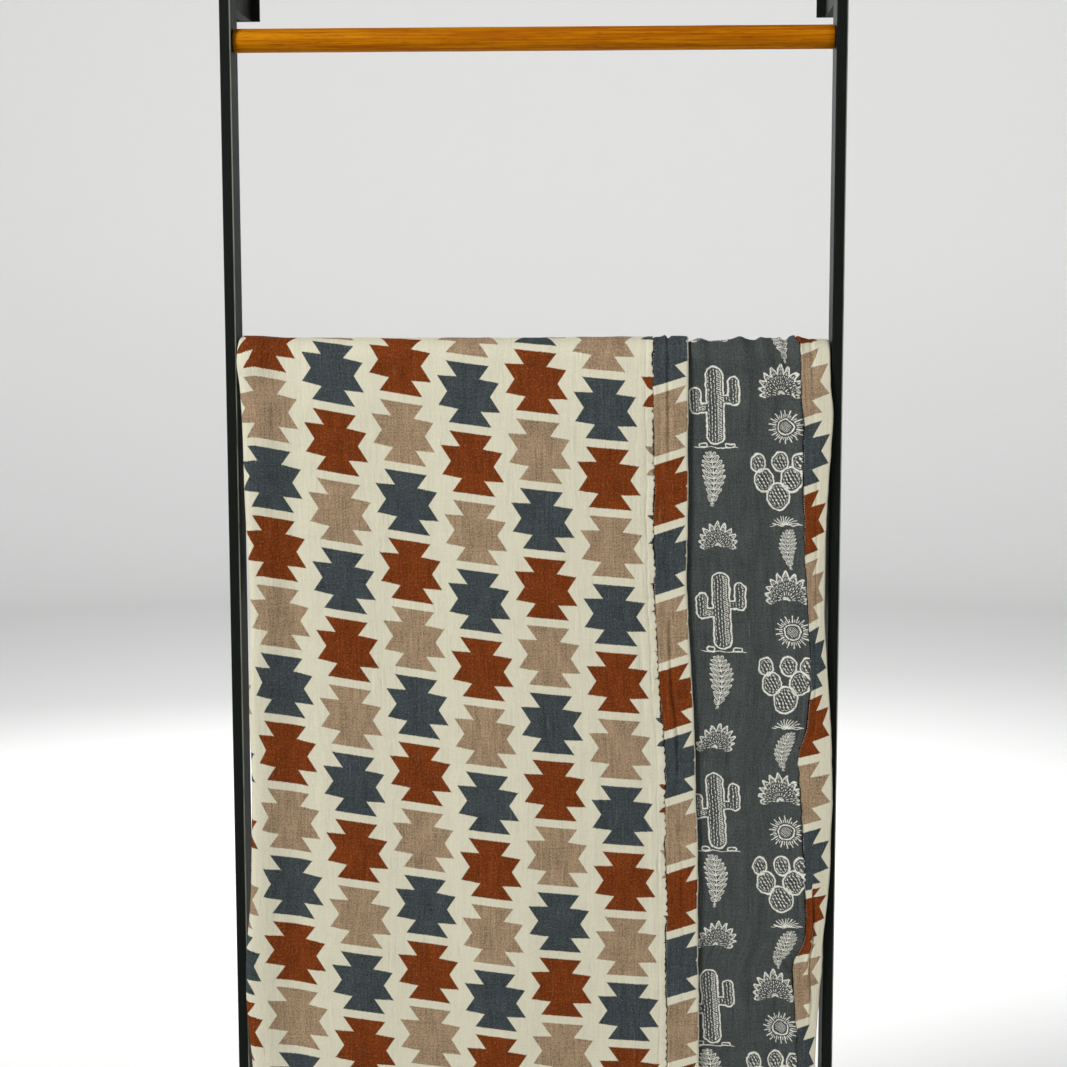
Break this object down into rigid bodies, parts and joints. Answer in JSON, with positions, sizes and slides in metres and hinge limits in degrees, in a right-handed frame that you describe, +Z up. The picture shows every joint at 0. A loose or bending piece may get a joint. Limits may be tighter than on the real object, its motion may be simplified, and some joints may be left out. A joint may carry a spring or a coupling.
{
  "type": "folded muslin quilt on a wall-held ladder rack",
  "caption": "Square muslin quilt folded lengthwise and draped over a wooden rung of a narrow wall-held steel ladder rack.",
  "frame": {"origin": "on the wall's plane, midway between the two upper wall plates", "axes": "+Z up, +Y towards the wall, +X to the right as seen from the front"},
  "size_m": [0.682, 0.1517, 1.484],
  "materials": {
    "quilt_print": "crinkled two-ply muslin, cream with a rust, slate and taupe serrated print",
    "quilt_reverse": "crinkled two-ply muslin, slate grey with white line motifs",
    "rung_wood": "orange-brown stained and oiled dowel",
    "rack_steel": "satin black powder coat"
  },
  "bodies": {
    "root": {"face_panel": "quilt_print", "binding_outer_edge": "quilt_print", "binding_under_edge": "quilt_print", "binding_front_hem": "quilt_print", "binding_back_hem": "quilt_print", "reverse_panel": "quilt_reverse", "rung_1": "rung_wood", "rung_2": "rung_wood", "rung_3": "rung_wood", "post_left": "rack_steel", "post_right": "rack_steel", "arm_upper_left": "rack_steel", "arm_upper_right": "rack_steel", "arm_lower_left": "rack_steel", "arm_lower_right": "rack_steel", "wall_plate_upper_left": "rack_steel", "wall_plate_upper_right": "rack_steel", "wall_plate_lower_left": "rack_steel", "wall_plate_lower_right": "rack_steel"}
  },
  "joints": []
}
